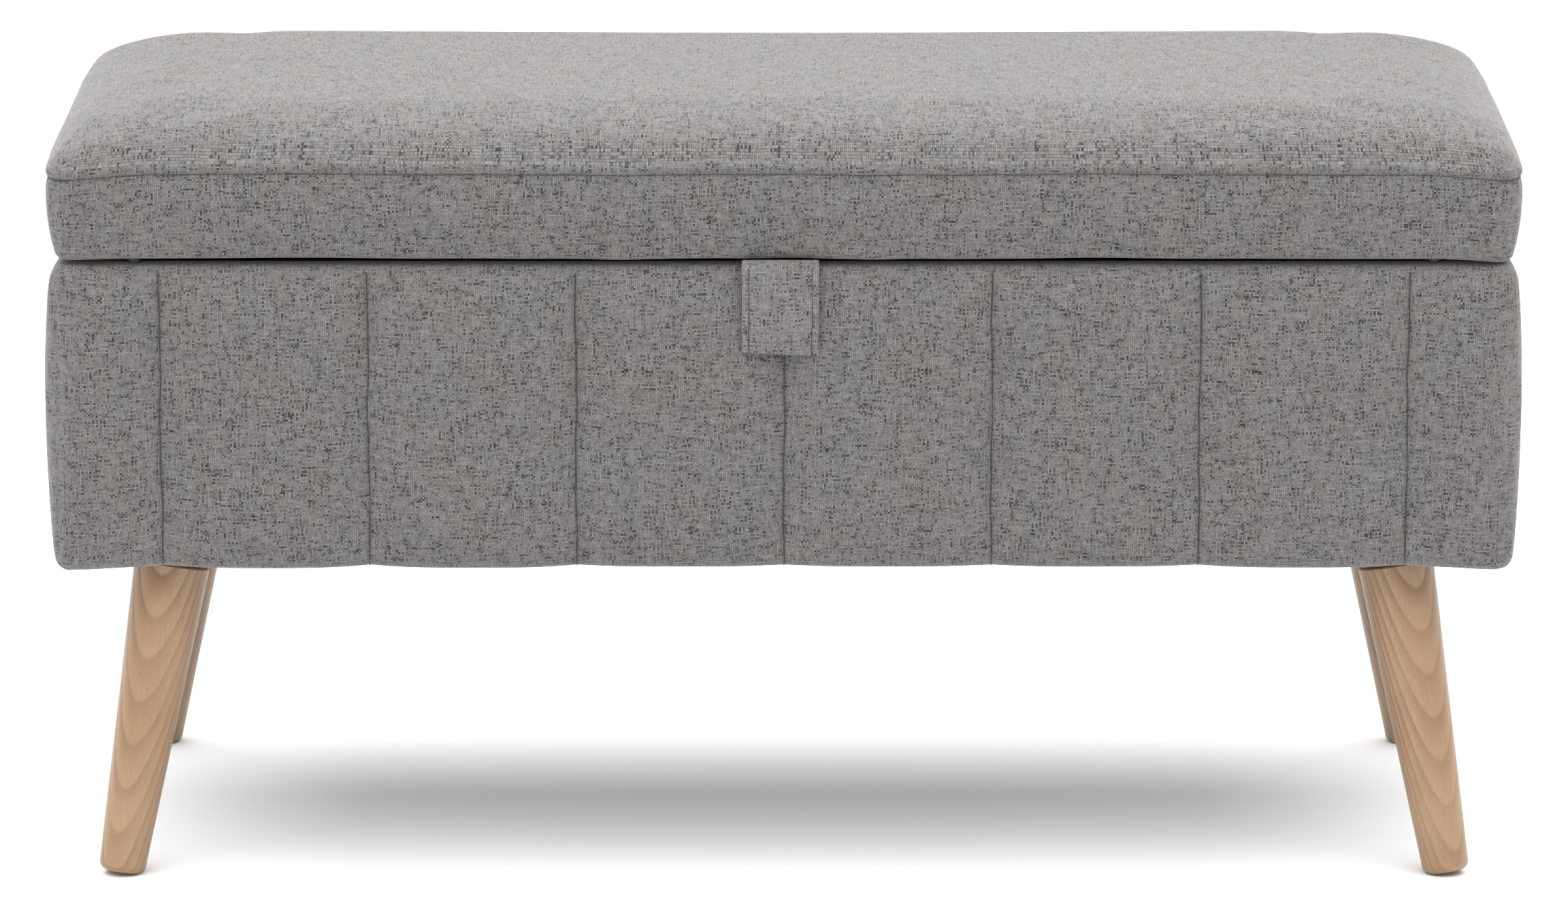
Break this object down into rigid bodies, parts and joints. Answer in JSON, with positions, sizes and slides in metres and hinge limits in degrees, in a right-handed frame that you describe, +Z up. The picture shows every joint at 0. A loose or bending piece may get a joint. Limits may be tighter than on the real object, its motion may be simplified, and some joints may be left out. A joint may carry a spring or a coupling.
{
  "type": "storage bench",
  "caption": "Padded storage bench with a hinged lid, lid stays, a channelled fabric box and splayed wooden legs.",
  "frame": {"origin": "middle of the bench on the floor", "axes": "+X to the right along the bench, -Y towards the front, +Z up"},
  "size_m": [1, 0.4097, 0.5336],
  "materials": {
    "cover_fabric": "matte",
    "lining": "matte",
    "dust_cover": "matte",
    "foam": "matte",
    "felt": "matte",
    "beech": "satin",
    "board": "matte",
    "black_steel": "satin",
    "zinc_steel": "satin",
    "damper_plastic": "satin"
  },
  "bodies": {
    "box": {"front_panel": "board", "back_panel": "board", "left_panel": "board", "right_panel": "board", "bottom_panel": "board", "corner_post_front_left": "board", "corner_post_front_right": "board", "corner_post_rear_left": "board", "corner_post_rear_right": "board", "hinge_rail": "board", "box_lining": "lining", "foam_front": "foam", "foam_back": "foam", "foam_left": "foam", "foam_right": "foam", "box_cover": "cover_fabric", "dust_cover": "dust_cover", "leg_front_left": "beech", "leg_front_right": "beech", "leg_rear_left": "beech", "leg_rear_right": "beech", "leg_plate_front_left": "black_steel", "leg_plate_front_right": "black_steel", "leg_plate_rear_left": "black_steel", "leg_plate_rear_right": "black_steel", "leg_bolts": "zinc_steel", "leg_plate_screws": "zinc_steel", "carcass_screws": "zinc_steel", "rim_bumpers": "felt", "hinge_box_leaf_left": "zinc_steel", "hinge_box_leaf_right": "zinc_steel", "hinge_pin_left": "zinc_steel", "hinge_pin_right": "zinc_steel", "hinge_box_screws": "zinc_steel", "stay_damper_left": "damper_plastic", "stay_damper_right": "damper_plastic", "stay_shaft_left": "zinc_steel", "stay_shaft_right": "zinc_steel", "stay_damper_screws": "zinc_steel"},
    "lid": {"lid_board": "board", "lid_foam": "foam", "lid_cover": "cover_fabric", "lid_lining": "lining", "pull_tab": "cover_fabric", "hinge_lid_leaf_left": "zinc_steel", "hinge_lid_leaf_right": "zinc_steel", "hinge_lid_screws": "zinc_steel", "stay_lid_bracket_left": "zinc_steel", "stay_lid_bracket_right": "zinc_steel", "stay_lid_pin_left": "zinc_steel", "stay_lid_pin_right": "zinc_steel", "stay_bracket_screws": "zinc_steel"},
    "left_arm": {"stay_arm_left": "zinc_steel", "stay_elbow_rivet_left": "zinc_steel"},
    "left_link": {"stay_link_left": "zinc_steel"},
    "right_arm": {"stay_arm_right": "zinc_steel", "stay_elbow_rivet_right": "zinc_steel"},
    "right_link": {"stay_link_right": "zinc_steel"}
  },
  "joints": [
    {"name": "lid_hinge", "type": "hinge", "parent": "box", "child": "lid", "pos_m": [0, 0.201, 0.4313], "axis": [-1, 0, 0], "range_deg": [0, 95]},
    {"name": "left_arm_pivot", "type": "hinge", "parent": "box", "child": "left_arm", "pos_m": [-0.45975, 0.126, 0.3613], "axis": [-1, 0, 0], "range_deg": [0, 95]},
    {"name": "left_link_pivot", "type": "hinge", "parent": "left_arm", "child": "left_link", "pos_m": [-0.45675, -0.004, 0.3473], "axis": [-1, 0, 0], "range_deg": [-95, 0]},
    {"name": "right_arm_pivot", "type": "hinge", "parent": "box", "child": "right_arm", "pos_m": [0.45975, 0.126, 0.3613], "axis": [-1, 0, 0], "range_deg": [0, 95]},
    {"name": "right_link_pivot", "type": "hinge", "parent": "right_arm", "child": "right_link", "pos_m": [0.45675, -0.004, 0.3473], "axis": [-1, 0, 0], "range_deg": [-95, 0]}
  ],
  "couplings": [
    {"joint": "left_arm_pivot", "follows": "lid_hinge", "ratio": 1},
    {"joint": "left_link_pivot", "follows": "lid_hinge", "ratio": -1},
    {"joint": "right_arm_pivot", "follows": "lid_hinge", "ratio": 1},
    {"joint": "right_link_pivot", "follows": "lid_hinge", "ratio": -1}
  ]
}
